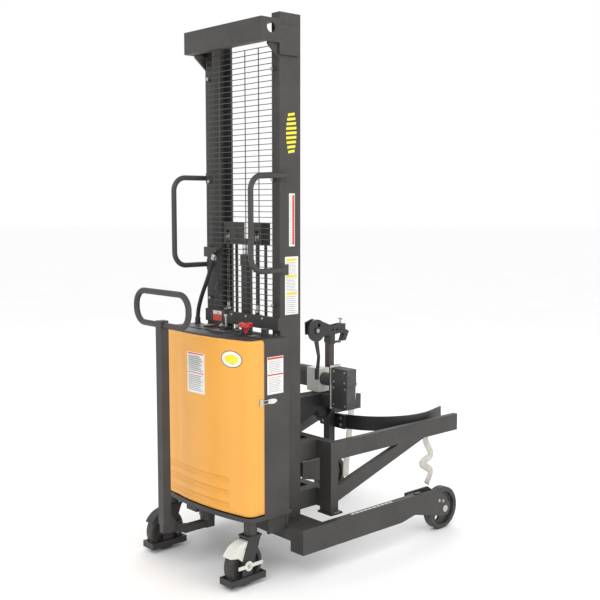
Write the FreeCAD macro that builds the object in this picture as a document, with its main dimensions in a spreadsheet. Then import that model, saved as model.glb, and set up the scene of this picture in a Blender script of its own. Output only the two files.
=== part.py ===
"""Powered drum stacker: a single-stage mast on straddle legs with a drum saddle and rotator.

Working axes: +X points forward, from the tiller to the drum, +Y to the left and +Z up, with the
floor at z = 0. Lengths are in millimetres. Places along X are measured from the rear face of
the mast, and frame_shift then moves every sub-part so that the origin is the middle of the base.
"""
import FreeCAD, Part
import math
import os
import re
import Sketcher

V = FreeCAD.Vector
doc = FreeCAD.newDocument("DrumStacker")

# ---------------------------------------------------------------- driving dimensions
DIMENSIONS = {
    # fits
    "run_fit": 0.05, "seat_gap": 0.3,
    # mast
    "mast_width": 508, "mast_top": 2337, "column_depth": 114, "flange_width": 50,
    "flange_wall": 10, "web_wall": 8, "column_foot": 210,
    # head beam over the mast
    "head_reach": 106, "head_low": 2210, "head_high": 2305, "head_wall": 8, "cheek_wall": 10,
    "cheek_low": 2165, "cheek_high": 2285, "cheek_reach": 101, "head_hole": 22,
    # cross tie with the chain anchors
    "tie_low": 1030, "tie_high": 1085, "tie_wall": 12, "chain_side": 101, "anchor_top": 1125,
    # wire guard
    "guard_low": 1105, "guard_high": 2205, "guard_half": 226, "guard_wire": 3, "guard_pitch": 23,
    "guard_behind": 12,
    # grab handles
    "grab_high": 1675, "grab_low": 1285, "grab_reach": 168, "grab_tube": 23, "grab_bend": 60,
    "grab_pad": 4,
    # base
    "base_rear": 17, "base_front": 120, "beam_low": 146, "beam_high": 210,
    "deck_low": 262, "deck_wall": 20, "deck_half": 325, "deck_corner": 222, "deck_bulge": 264,
    # straddle legs
    "leg_outer": 417, "leg_wall": 30, "leg_low": 102, "leg_high": 210, "leg_end": 727,
    "leg_taper": 596, "fork_plate": 8, "wheel_gap": 1.5,
    # front wheels
    "front_axle": 905, "front_radius": 101.6, "front_width": 45, "axle_radius": 10,
    # rear casters
    "caster_back": 190, "caster_side": 283, "caster_radius": 88.9, "caster_width": 44,
    "caster_trail": 42, "stem_radius": 28, "stem_low": 206, "kingbolt": 10,
    "heading_right": 2, "heading_left": 0,
    # power unit
    "box_half": 328, "box_rear": 150, "box_front": 16, "box_high": 1012, "sheet_wall": 3,
    "cover_low": 290, "cover_corner": 224, "cover_bulge": 266, "cover_wall": 4,
    # hydraulics
    "ram_x": 27, "barrel_radius": 25, "rod_radius": 18, "barrel_top": 1340, "barrel_low": 214,
    "yoke_low": 1383, "yoke_high": 1478, "pulley_x": 27, "pulley_radius": 24, "pulley_z": 1412,
    # carriage
    "carriage_low": 545, "carriage_high": 800, "carriage_rear": 58, "carriage_front": 92,
    "carriage_half": 196, "roller_radius": 46.5, "roller_width": 30, "roller_pin": 12,
    "roller_x": 57, "roller_drop": 592, "roller_lift": 752,
    # lifting arm and rotator
    "arm_end": 482, "arm_half": 40, "arm_low": 592, "arm_high": 668, "turn_z": 600,
    "turn_shaft": 20, "disc_radius": 62, "disc_wall": 12, "gear_x": 443, "gear_depth": 66,
    "gear_lift": 4,
    # drum saddle
    "drum_radius": 292, "drum_back": 565, "band_wall": 8, "band_low": 487, "band_high": 556,
    "band_tip": 115, "liner_gap": 4,
    # rim clamp
    "post_x": 532, "post_side": 38, "post_wall": 3.5, "post_low": 420, "post_high": 767,
    "slide_low": 540, "slide_high": 905, "cam_x": 416, "cam_z": 970, "beak_x": 588,
    "beak_z": 960, "screw_x": 604, "pin_z": 742,
    # guide frame beside the drum
    "frame_rear": 211, "frame_front": 256, "frame_room": 15, "frame_wall": 26,
    "frame_low": 448, "frame_high": 528, "frame_end": 1078, "post_depth": 70,
    "post_foot": 213, "rail_low": 232, "rail_high": 312,
    # steering
    "king_x": 200, "king_radius": 18, "tiller_x": 420, "tiller_side": 38, "tiller_low": 228,
    "tiller_high": 1085, "tiller_pivot_x": 355, "tiller_pivot_z": 198, "loop_half": 188,
    "loop_low": 1066, "loop_high": 1200, "loop_tube": 25,
}
DIMENSIONS["drum_x"] = DIMENSIONS["drum_back"] + DIMENSIONS["drum_radius"] + DIMENSIONS["liner_gap"]
DIMENSIONS["frame_half"] = (DIMENSIONS["drum_radius"] + DIMENSIONS["liner_gap"] + DIMENSIONS["band_wall"]
                            + DIMENSIONS["frame_room"] + DIMENSIONS["frame_wall"])
DIMENSIONS["frame_shift"] = -(DIMENSIONS["frame_end"] - DIMENSIONS["tiller_x"]
                              - DIMENSIONS["tiller_side"] / 2) / 2

sheet = doc.addObject("Spreadsheet::Sheet", "Dims")
for row, (alias, value) in enumerate(DIMENSIONS.items(), start=1):
    sheet.set(f"A{row}", alias)
    sheet.set(f"B{row}", str(value))
    sheet.setAlias(f"B{row}", alias)
doc.recompute()


class Sizes:
    """The sheet's values, for the shapes that are worked out in code."""


for alias in DIMENSIONS:
    setattr(Sizes, alias, float(sheet.get(alias)))
D = Sizes
NODES = {}


# ---------------------------------------------------------------- helpers
def bound(text):
    """Write an expression of plain alias words in the sheet's own words."""
    return re.sub(r"[a-z][a-z_]*", lambda word: "Dims." + word.group(0), str(text))


def place(obj, at):
    """Bind an object's position to three expressions."""
    for axis, text in zip("xyz", at):
        obj.setExpression(f"Placement.Base.{axis}", bound(text))
    return obj


def block(size, at):
    """A box between the corner at and at + size."""
    box = doc.addObject("Part::Box", "Block")
    for prop, text in zip(("Length", "Width", "Height"), size):
        box.setExpression(prop, bound(text))
    return place(box, at)


def pair(size, at):
    """Two boxes mirrored about the middle plane; at gives the left one's low corner."""
    left = block(size, at)
    right = block(size, (at[0], f"-({at[1]})-({size[1]})", at[2]))
    return [left, right]


TURN = {"z": (V(0, 0, 1), 0), "x": (V(0, 1, 0), 90), "y": (V(1, 0, 0), -90)}


def rod(radius, length, at, axis="z"):
    """A cylinder that runs along +axis from at."""
    obj = doc.addObject("Part::Cylinder", "Rod")
    obj.setExpression("Radius", bound(radius))
    obj.setExpression("Height", bound(length))
    obj.Placement = FreeCAD.Placement(V(0, 0, 0), FreeCAD.Rotation(*TURN[axis]))
    return place(obj, at)


def fused(parts):
    """One solid out of several."""
    obj = doc.addObject("Part::MultiFuse", "Joined")
    obj.Shapes = parts
    obj.Refine = True
    return obj


def cut(base, tool):
    """The base with the tool taken away."""
    obj = doc.addObject("Part::Cut", "Trimmed")
    obj.Base = base
    obj.Tool = tool
    return obj


def group(parts):
    """Separate solids kept together in one sub-part."""
    obj = doc.addObject("Part::Compound", "Group")
    obj.Links = parts
    return obj


def sketch_polygon(body, plane, points):
    """A closed outline whose corners are bound to expressions, on one of the body's planes."""
    sketch = body.newObject("Sketcher::SketchObject", body.Name + "_outline")
    origin_plane = [f for f in body.Origin.OriginFeatures if f.Role == plane][0]
    sketch.AttachmentSupport = [(origin_plane, "")]
    sketch.MapMode = "FlatFace"
    count = len(points)
    start = [V(100 * math.cos(2 * math.pi * i / count), 100 * math.sin(2 * math.pi * i / count), 0)
             for i in range(count)]
    for i in range(count):
        sketch.addGeometry(Part.LineSegment(start[i], start[(i + 1) % count]), False)
    for i in range(count):
        sketch.addConstraint(Sketcher.Constraint("Coincident", i, 2, (i + 1) % count, 1))
    for i, (across, up) in enumerate(points):
        for kind, text in (("DistanceX", across), ("DistanceY", up)):
            number = sketch.addConstraint(Sketcher.Constraint(kind, -1, 1, i, 1, 1.0))
            sketch.setExpression(f"Constraints[{number}]", bound(text))
    return sketch


def prism(plane, points, length, at=("0", "0", "0")):
    """An outline padded by length: XY goes up, XZ goes towards -Y and YZ goes forward."""
    body = doc.addObject("PartDesign::Body", "Prism")
    sketch = sketch_polygon(body, plane, points)
    pad = body.newObject("PartDesign::Pad", body.Name + "_pad")
    pad.Profile = sketch
    pad.setExpression("Length", bound(length))
    return place(body, at)


def turned(points, at, axis="z"):
    """A half outline, given as radius and height, turned about its own axis."""
    body = doc.addObject("PartDesign::Body", "Turned")
    sketch = sketch_polygon(body, "XZ_Plane", points)
    turn = body.newObject("PartDesign::Revolution", body.Name + "_turn")
    turn.Profile = sketch
    turn.ReferenceAxis = (sketch, ["V_Axis"])
    turn.Angle = 360
    body.Placement = FreeCAD.Placement(V(0, 0, 0), FreeCAD.Rotation(*TURN[axis]))
    return place(body, at)


def shaped(shape):
    """A shape worked out in code."""
    obj = doc.addObject("Part::Feature", "Shaped")
    obj.Shape = shape
    return obj


def node(label, obj, at=("0", "0", "0"), heading=None):
    """Name a sub-part and move it to the origin's frame, turned by heading where it swivels."""
    if heading is not None:
        obj.Placement = FreeCAD.Placement(V(0, 0, 0), FreeCAD.Rotation(V(0, 0, 1), 0))
        obj.setExpression("Placement.Rotation.Angle", bound(heading))
    own = dict((path.strip("."), text) for path, text in obj.ExpressionEngine)
    for axis, text in zip("xyz", at):
        shift = " + Dims.frame_shift" if axis == "x" else ""
        before = own.get(f"Placement.Base.{axis}", "0")
        obj.setExpression(f"Placement.Base.{axis}", f"{before} + {bound(text)}{shift}")
    obj.Label = label
    NODES[label] = obj


def rounded_path(points, bends):
    """Straight runs joined by tangent arcs; bends gives each inner corner's radius."""
    edges = []
    here = points[0]
    for before, corner, after, bend in zip(points, points[1:], points[2:], bends):
        back = (before - corner).normalize()
        ahead = (after - corner).normalize()
        half = back.getAngle(ahead) / 2
        reach = bend / math.tan(half)
        start = corner + back * reach
        end = corner + ahead * reach
        centre = corner + (back + ahead).normalize() * (bend / math.sin(half))
        middle = centre + (corner - centre).normalize() * bend
        edges.append(Part.LineSegment(here, start).toShape())
        edges.append(Part.Arc(start, middle, end).toShape())
        here = end
    edges.append(Part.LineSegment(here, points[-1]).toShape())
    return Part.Wire(edges)


def swept(wire, radius):
    """A round bar along a wire."""
    first = wire.Edges[0]
    start = first.valueAt(first.FirstParameter)
    section = Part.Wire([Part.makeCircle(radius, start, first.tangentAt(first.FirstParameter))])
    return wire.makePipeShell([section], True, False)


def cord(label, points, radius):
    """A cord along hand-placed points, each bend as large as its two runs allow."""
    bends = []
    for before, corner, after in zip(points, points[1:], points[2:]):
        shorter = min((corner - before).Length, (after - corner).Length)
        turn = math.pi - (before - corner).getAngle(after - corner)
        bends.append(0.45 * shorter / math.tan(turn / 2))
    wire = rounded_path(points, bends)
    solid = swept(wire, radius)
    print(label, "length", round(wire.Length, 1), "radii", [round(b) for b in bends],
          "volume ratio", round(solid.Volume / (math.pi * radius ** 2 * wire.Length), 4))
    node(label, shaped(solid))


SIDES = (("left", 1), ("right", -1))


def mirrored(side, text):
    """An expression on the left side, or its negative on the right."""
    return text if side > 0 else f"-({text})"


def slab(side, near, far):
    """Low Y corner of a slab between two distances from the middle plane, on one side."""
    return near if side > 0 else f"-({far})"


# ---------------------------------------------------------------- mast
def mast():
    for name, side in SIDES:
        outline = [("0", "mast_width/2"), ("column_depth", "mast_width/2"),
                   ("column_depth", "mast_width/2-flange_width"),
                   ("column_depth-flange_wall", "mast_width/2-flange_width"),
                   ("column_depth-flange_wall", "mast_width/2-web_wall"),
                   ("flange_wall", "mast_width/2-web_wall"),
                   ("flange_wall", "mast_width/2-flange_width"),
                   ("0", "mast_width/2-flange_width")]
        outline = [(across, mirrored(side, up)) for across, up in outline]
        column = prism("XY_Plane", outline, "mast_top-column_foot", ("0", "0", "column_foot"))
        node("mast_column_" + name, column)

    outer = "mast_width/2+cheek_wall"
    parts = [
        block(("head_wall", f"2*({outer})", "head_high-head_low"),
              ("-head_reach", f"-({outer})", "head_low")),
        block(("head_reach", f"2*({outer})", "head_wall"),
              ("-head_reach", f"-({outer})", "head_high-head_wall")),
        block(("head_reach/3", f"2*({outer})", "head_wall"),
              ("-head_reach", f"-({outer})", "head_low")),
    ]
    parts += pair(("head_reach", "cheek_wall", "head_high-head_low"),
                  ("-head_reach", "mast_width/2", "head_low"))
    parts += pair(("cheek_reach+head_wall", "cheek_wall", "cheek_high-cheek_low"),
                  ("-head_wall", "mast_width/2", "cheek_low"))
    for side in (1, -1):
        low = "mast_width/2" if side > 0 else "-mast_width/2+cheek_wall"
        parts.append(prism("XZ_Plane", [("0", "head_low-60"), ("0", "head_low+2"),
                                        ("-60", "head_low+2"), ("-60", "head_low-8")],
                           "cheek_wall", ("0", low, "0")))
    holes = rod("head_hole", "mast_width+4*cheek_wall",
                ("-head_reach/2", "-mast_width/2-2*cheek_wall", "head_low+58"), "y")
    node("mast_head", cut(fused(parts), holes))

    tie = [block(("tie_wall", "mast_width", "tie_high-tie_low"),
                 ("-tie_wall", "-mast_width/2", "tie_low"))]
    anchor_x = "pulley_x-pulley_radius"
    for side in (1, -1):
        y = mirrored(side, "chain_side")
        tie.append(block(("tie_wall+14", "36", "25"), ("-tie_wall", f"{y}-18", "tie_high-25")))
        tie.append(rod("6", "anchor_top-tie_high+25", (anchor_x, y, "tie_high-25")))
        tie.append(rod("10", "9", (anchor_x, y, "tie_high")))
    node("lower_tie", fused(tie))


def guard():
    """The wire guard behind the mast, as a thin plate with a window between the wires."""
    x = -D.guard_behind - D.guard_wire
    wire = D.guard_wire
    bays = 5
    bay = (2 * D.guard_half - wire) / bays
    rows = int((D.guard_high - D.guard_low - wire) // D.guard_pitch)
    pitch = (D.guard_high - D.guard_low - wire) / rows

    def frame(y0, y1, z0, z1):
        return Part.makePolygon([V(x, y0, z0), V(x, y1, z0), V(x, y1, z1), V(x, y0, z1), V(x, y0, z0)])

    wires = [frame(-D.guard_half, D.guard_half, D.guard_low, D.guard_high)]
    for i in range(bays):
        for j in range(rows):
            y = -D.guard_half + wire + i * bay
            z = D.guard_low + wire + j * pitch
            wires.append(frame(y, y + bay - wire, z, z + pitch - wire))
    face = Part.Face(wires[0])
    face = face.cut(Part.Compound([Part.Face(w) for w in wires[1:]]))
    solids = [face.extrude(V(wire, 0, 0))]
    for z in (D.guard_low + 30, D.guard_low + 555, D.guard_high - 95):
        for side in (1, -1):
            y = side * (D.guard_half - 6)
            solids.append(Part.makeCylinder(8, wire + D.guard_behind, V(x, y, z), V(1, 0, 0)))
    plate = solids[0].fuse(solids[1:])
    node("guard_mesh", shaped(plate.Solids[0]))


def grab_handles():
    for name, side in SIDES:
        radius = D.grab_tube / 2
        y = side * (D.mast_width / 2 + D.grab_pad + radius - 1)
        front = 22
        points = [V(front, y, D.grab_high), V(-D.grab_reach, y, D.grab_high),
                  V(-D.grab_reach, y, D.grab_low), V(front, y, D.grab_low)]
        tube = swept(rounded_path(points, [D.grab_bend] * 2), radius)
        pads = []
        for z in (D.grab_high, D.grab_low):
            y_low = D.mast_width / 2 if side > 0 else -D.mast_width / 2 - D.grab_pad
            pads.append(Part.makeBox(44, D.grab_pad, 44, V(front - 22, y_low, z - 22)))
        node("grab_handle_" + name, shaped(tube.fuse(pads).removeSplitter().Solids[0]))


# ---------------------------------------------------------------- base and wheels
def bowed(half, corner, bulge, front, low, high):
    """A plate or shell blank with a rear edge that bows outward, between two heights."""
    a = V(-corner, half, low)
    b = V(-corner, -half, low)
    edges = [Part.LineSegment(V(-front, half, low), a), Part.Arc(a, V(-bulge, 0, low), b),
             Part.LineSegment(b, V(-front, -half, low)),
             Part.LineSegment(V(-front, -half, low), V(-front, half, low))]
    face = Part.Face(Part.Wire([edge.toShape() for edge in edges]))
    return face.extrude(V(0, 0, high - low))


def rear_corner_edges(solid, corner):
    """The two upright edges at the rear corners."""
    return [e for e in solid.Edges
            if abs(e.BoundBox.XMin + corner) < 0.01 and e.BoundBox.XLength < 0.01
            and e.BoundBox.YLength < 0.01]


def base():
    deck = bowed(D.deck_half, D.deck_corner, D.deck_bulge, 0, D.deck_low, D.deck_low + D.deck_wall)
    deck = deck.makeFillet(34, rear_corner_edges(deck, D.deck_corner))
    parts = [shaped(deck),
             block(("base_rear+base_front", "2*(leg_outer-leg_wall)", "beam_high-beam_low"),
                   ("-base_rear", "-(leg_outer-leg_wall)", "beam_low")),
             block(("12", "2*deck_half-30", "deck_low-beam_high+1"),
                   ("-base_rear", "-deck_half+15", "beam_high-0.5")),
             rod("36", "40.5", ("-king_x", "0", "deck_low-40"))]
    parts += pair(("96", "12", "deck_low-beam_high+22"), ("-112", "deck_half-30", "beam_high-21"))
    for side in (1, -1):
        parts.append(rod("stem_radius", "deck_low-stem_low+1",
                         ("-caster_back", mirrored(side, "caster_side"), "stem_low")))
    body = fused(parts)
    bores = [rod("king_radius+run_fit", "70", ("-king_x", "0", "deck_low-60"))]
    for side in (1, -1):
        bores.append(rod("kingbolt+run_fit", "40",
                         ("-caster_back", mirrored(side, "caster_side"), "stem_low-1")))
    node("base_frame", cut(body, fused(bores)))


def legs():
    for name, side in SIDES:
        outline = [("-base_rear", "leg_low"), ("leg_taper", "leg_low"), ("leg_end", "leg_low+23"),
                   ("leg_end", "leg_high"), ("-base_rear", "leg_high")]
        inner = "leg_outer-leg_wall"
        high_y = {1: "leg_outer", -1: f"-({inner})"}[side]
        bar = prism("XZ_Plane", outline, "leg_wall", ("0", high_y, "0"))
        cheek = [("leg_end-45", "leg_low+18"), ("leg_end-45", "leg_high"), ("front_axle-62", "leg_high"),
                 ("front_axle-30", "leg_high-22"), ("front_axle+34", "front_radius+24"),
                 ("front_axle+38", "front_radius-10"), ("front_axle+20", "front_radius-32"),
                 ("front_axle-22", "front_radius-32")]
        gap = "leg_outer-2*fork_plate-front_width-2*wheel_gap"
        plates = []
        for far in ("leg_outer", f"{gap}+fork_plate"):
            top = far if side > 0 else f"-({far})+fork_plate"
            plates.append(prism("XZ_Plane", cheek, "fork_plate", ("0", top, "0")))
        axle = rod("axle_radius", "front_width+2*fork_plate+2*wheel_gap",
                   ("front_axle", slab(side, gap, "leg_outer"), "front_radius"), "y")
        web = block(("40", f"leg_outer-fork_plate-({gap})", "leg_high-leg_low-30"),
                    ("leg_end-42", slab(side, gap, "leg_outer-fork_plate"), "leg_low+25"))
        heel = block(("60", "leg_wall+50", "leg_high-leg_low"),
                     ("-base_rear", slab(side, "leg_outer-leg_wall-50", "leg_outer"), "leg_low"))
        notch = block(("90", "52", "beam_high-beam_low+2"),
                      ("-base_rear-10", slab(side, "leg_outer-leg_wall-52", "leg_outer-leg_wall"),
                       "beam_low"))
        node("leg_" + name, fused([bar, cut(heel, notch), web, axle] + plates))

        centre = f"leg_outer-fork_plate-wheel_gap-front_width/2"
        half = "front_width/2"
        rim = [("axle_radius+run_fit", f"-{half}"), ("28", f"-{half}"), ("30", "-6"),
               ("front_radius-26", "-6"), ("front_radius-22", f"-{half}+3"),
               ("front_radius-5", f"-{half}"), ("front_radius", f"-{half}+5"),
               ("front_radius", f"{half}-5"), ("front_radius-5", half),
               ("front_radius-22", f"{half}-3"), ("front_radius-26", "6"), ("30", "6"),
               ("28", half), ("axle_radius+run_fit", half)]
        wheel = turned(rim, ("front_axle", mirrored(side, centre), "front_radius"), "y")
        windows = []
        count = 5
        for i in range(count):
            angle = 2 * math.pi * (i + 0.3) / count
            reach = 52
            windows.append(rod("15", "front_width", (
                f"front_axle+{reach * math.cos(angle):.3f}",
                f"{mirrored(side, centre)}-front_width/2",
                f"front_radius+({reach * math.sin(angle):.3f})"), "y"))
        node("front_wheel_" + name, cut(wheel, fused(windows)))


def casters():
    """Each caster is built about its own swivel axis and then turned to its heading."""
    for name, side in SIDES:
        at = ("-caster_back", mirrored(side, "caster_side"), "0")
        heading = "heading_" + name
        half = "caster_width/2"
        inner = f"{half}+4"
        plate = [("-32", "stem_low-9"), ("30", "stem_low-9"), ("-caster_trail+24", "caster_radius-18"),
                 ("-caster_trail+30", "24"), ("-caster_trail-34", "24"),
                 ("-caster_trail-24", "caster_radius+20")]
        parts = [block(("76", "caster_width+18", "8"), ("-40", f"-({half})-9", "stem_low-8.5")),
                 rod("kingbolt", "40", ("0", "0", "stem_low-8")),
                 rod("8", "caster_width+36", ("-caster_trail", f"-({half})-18", "caster_radius"), "y")]
        for far in (f"{inner}+5", f"-({inner})"):
            parts.append(prism("XZ_Plane", plate, "5", ("0", far, "0")))
        length = "184"
        rear = "-caster_trail-92"
        for y in (f"{inner}+5", f"-({inner})-13"):
            parts.append(block((length, "8", "28"), (rear, y, "18")))
        for x in (rear, "-caster_trail+84"):
            parts.append(block(("8", f"2*({inner}+13)", "28"), (x, f"-({inner})-13", "18")))
        node("caster_fork_" + name, fused(parts), at, heading)

        rim = [("8+run_fit", f"-{half}"), ("22", f"-{half}"), ("24", "-8"), ("caster_radius-24", "-8"),
               ("caster_radius-20", f"-{half}+2"), ("caster_radius-6", f"-{half}"),
               ("caster_radius", f"-{half}+7"), ("caster_radius", f"{half}-7"),
               ("caster_radius-6", half), ("caster_radius-20", f"{half}-2"),
               ("caster_radius-24", "8"), ("24", "8"), ("22", half), ("8+run_fit", half)]
        wheel = turned(rim, ("-caster_trail", "0", "caster_radius"), "y")
        node("caster_wheel_" + name, group([wheel]), at, heading)

        hood = caster_hood()
        lever = fused([rod("20", "5", ("-caster_trail", f"-({half})-18.3", "caster_radius"), "y"),
                       block(("128", "5", "14"),
                             ("-caster_trail-54", f"-({half})-18.3", "caster_radius-7"))])
        bore = rod("8+run_fit", "20", ("-caster_trail", f"-({half})-25", "caster_radius"), "y")
        node("caster_brake_" + name, group([shaped(hood), cut(lever, bore)]), at, heading)


def caster_hood():
    """The brake housing that wraps the rear and top of the tyre, with a web down to the axle."""
    outer = Part.makeCylinder(D.caster_radius + 9, D.caster_width + 6,
                              V(-D.caster_trail, -D.caster_width / 2 - 3, D.caster_radius), V(0, 1, 0))
    inner = Part.makeCylinder(D.caster_radius + 4, D.caster_width + 3,
                              V(-D.caster_trail, -D.caster_width / 2 - 1, D.caster_radius), V(0, 1, 0))
    hub = Part.makeCylinder(8 + D.run_fit, 80, V(-D.caster_trail, -40, D.caster_radius), V(0, 1, 0))
    reach = D.caster_radius + 30
    corner = V(-D.caster_trail, -40, D.caster_radius)
    outline = [(14, -14), (14, reach), (-reach, reach), (-reach, 52), (-44, 38), (-20, 16), (-18, -14)]
    keep = Part.makePolygon([corner + V(x, 0, z) for x, z in outline + outline[:1]])
    wedge = Part.Face(keep).extrude(V(0, 80, 0))
    return outer.cut(inner).cut(hub).common(wedge).Solids[0]


# ---------------------------------------------------------------- power unit
def power_unit():
    shell = block(("box_rear-box_front", "2*box_half", "box_high-deck_low-deck_wall"),
                  ("-box_rear", "-box_half", "deck_low+deck_wall"))
    room = block(("box_rear-box_front-sheet_wall+1", "2*(box_half-sheet_wall)",
                  "box_high-deck_low-deck_wall-2*sheet_wall"),
                 ("-box_rear-1", "-box_half+sheet_wall", "deck_low+deck_wall+sheet_wall"))
    node("power_box", cut(shell, room))

    panel = [block(("112", "540", "4"), ("-140", "-280", "box_high")),
             rod("24", "7", ("-72", "148", "box_high+3")),
             rod("15", "9", ("-60", "70", "box_high+3")),
             block(("44", "34", "16"), ("-112", "-17", "box_high+3")),
             rod("22", "8", ("-112", "-165", "box_high+3")),
             rod("16", "22", ("-80", "-250", "box_high+3"))]
    slot = block(("30", "12", "30"), ("-105", "-6", "box_high+5"))
    holes = [slot, rod("9+run_fit", "40", ("-112", "-165", "box_high-1")),
             rod("6+run_fit", "40", ("-84", "-70", "box_high-1"))]
    node("control_panel", cut(fused(panel), fused(holes)))

    floor = "deck_low+deck_wall+sheet_wall"
    case = block(("112", "270", "220"), ("-box_front-sheet_wall-114", "20", floor))
    posts = [rod("8", "14", ("-76", f"{y}", f"{floor}+220")) for y in (60, 250)]
    tank = block(("104", "200", "160"), ("-128", "-250", floor))
    pump = rod("52", "150", ("-76", "-150", f"{floor}+160"))
    valve = block(("60", "70", "70"), ("-106", "-245", f"{floor}+160"))
    node("power_pack", group([fused([case] + posts), fused([tank, pump, valve])]))

    outer = bowed(D.box_half, D.cover_corner, D.cover_bulge, D.box_rear + D.seat_gap,
                  D.cover_low, D.box_high)
    outer = outer.makeFillet(38, rear_corner_edges(outer, D.cover_corner))
    wall = D.cover_wall
    inner = bowed(D.box_half - wall, D.cover_corner - wall, D.cover_bulge - wall, D.box_rear - 5,
                  D.cover_low + wall, D.box_high - wall)
    inner = inner.makeFillet(34, rear_corner_edges(inner, D.cover_corner - wall))
    node("power_cover", shaped(outer.cut(inner).Solids[0]))

    latch = [block(("46", "6", "16"), ("-132", "-box_half-6", "750")),
             block(("40", "4", "4"), ("-172", "-box_half-7", "764")),
             block(("40", "4", "4"), ("-172", "-box_half-7", "748")),
             block(("4", "4", "20"), ("-172", "-box_half-7", "748"))]
    node("cover_latch", fused(latch))

    lever_x = "-90"
    lever = [rod("4.5", "62", (lever_x, "0", "box_high+12")),
             rod("9", "34", (lever_x, "0", "box_high+66")),
             rod("5", "11", (lever_x, "-5.5", "box_high+14"), "y")]
    node("control_lever", fused(lever))
    knob = [rod("9", "18", ("-112", "-165", "box_high+6")), rod("14", "14", ("-112", "-165", "box_high+22")),
            rod("26", "12", ("-112", "-165", "box_high+34"))]
    node("stop_knob", fused(knob))
    key = [rod("6", "22", ("-84", "-70", "box_high+0.5")), rod("11", "5", ("-84", "-70", "box_high+4.3")),
           block(("5", "22", "20"), ("-86.5", "-81", "box_high+14"))]
    node("key_switch", fused(key))


# ---------------------------------------------------------------- lifting gear
def ram():
    barrel = rod("barrel_radius", "barrel_top-barrel_low", ("ram_x", "0", "barrel_low"))
    foot = block(("64", "90", "barrel_low-beam_high+6"), ("ram_x-31", "-45", "beam_high"))
    gland = rod("barrel_radius+4", "46", ("ram_x", "0", "barrel_top-46"))
    bore = rod("rod_radius+run_fit", "barrel_top-barrel_low", ("ram_x", "0", "barrel_low+24"))
    node("cylinder_barrel", cut(fused([barrel, foot, gland]), bore))

    rod_low = "yoke_low-1120"
    head = block(("50", "260", "yoke_high-yoke_low"), ("ram_x-25", "-130", "yoke_low"))
    notch = block(("60", "88", "yoke_high-yoke_low"), ("ram_x-30", "-44", "yoke_low+24"))
    side_gaps = pair(("60", "26", "62"), ("ram_x-30", "chain_side-13", "yoke_low-1"))
    parts = [cut(head, fused([notch] + side_gaps)),
             rod("rod_radius", "yoke_low-(yoke_low-1120)+1", ("ram_x", "0", rod_low))]
    for side in (1, -1):
        low = f"{mirrored(side, 'chain_side')}-20"
        parts.append(rod("6", "40", ("pulley_x", low, "pulley_z"), "y"))
    node("ram", fused(parts))

    for name, side in SIDES:
        rim = [("6+run_fit", "-11"), ("pulley_radius+3", "-11"), ("pulley_radius+3", "-8"),
               ("pulley_radius-3.5", "-7.6"), ("pulley_radius-3.5", "7.6"), ("pulley_radius+3", "8"),
               ("pulley_radius+3", "11"), ("6+run_fit", "11")]
        pulley = turned(rim, ("pulley_x", mirrored(side, "chain_side"), "pulley_z"), "y")
        node("chain_pulley_" + name, pulley)

    strands = {"lift_chain_rear": ("pulley_x-pulley_radius", "anchor_top"),
               "lift_chain_front": ("pulley_x+pulley_radius", "carriage_low+46")}
    for name, (x, low) in strands.items():
        parts = [block(("6", "14", f"pulley_z-({low})"),
                       (f"{x}-3", f"{mirrored(side, 'chain_side')}-7", low)) for side in (1, -1)]
        node(name, group(parts))


def carriage():
    parts = pair(("carriage_front-carriage_rear", "10", "carriage_high-carriage_low"),
                 ("carriage_rear", "carriage_half-10", "carriage_low"))
    for z in ("carriage_low", "carriage_high-50"):
        parts.append(block(("carriage_front-carriage_rear", "2*carriage_half-10", "46"),
                           ("carriage_rear", "-carriage_half+5", z)))
    for side in (1, -1):
        y = mirrored(side, "chain_side")
        parts.append(block(("18", "24", "46"), ("carriage_rear-17", f"{y}-12", "carriage_low")))
        for z in ("roller_drop", "roller_lift"):
            low = slab(side, "carriage_half-1", "carriage_half+roller_width+6")
            parts.append(rod("roller_pin", "roller_width+7", ("roller_x", low, z), "y"))
        for z in ("roller_drop-18", "roller_lift-18"):
            parts.append(block(("carriage_rear-roller_x+22", "10", "36"),
                               ("roller_x-20", slab(side, "carriage_half-10", "carriage_half"), z)))
    node("carriage", fused(parts))

    centre = "carriage_half+2+roller_width/2"
    for name, side in SIDES:
        for level, z in (("lower", "roller_drop"), ("upper", "roller_lift")):
            rim = [("roller_pin+run_fit", "-roller_width/2"), ("roller_radius-3", "-roller_width/2"),
                   ("roller_radius", "-roller_width/2+3"), ("roller_radius", "roller_width/2-3"),
                   ("roller_radius-3", "roller_width/2"), ("roller_pin+run_fit", "roller_width/2")]
            roller = turned(rim, ("roller_x", mirrored(side, centre), z), "y")
            node(f"carriage_roller_{level}_{name}", roller)


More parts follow.
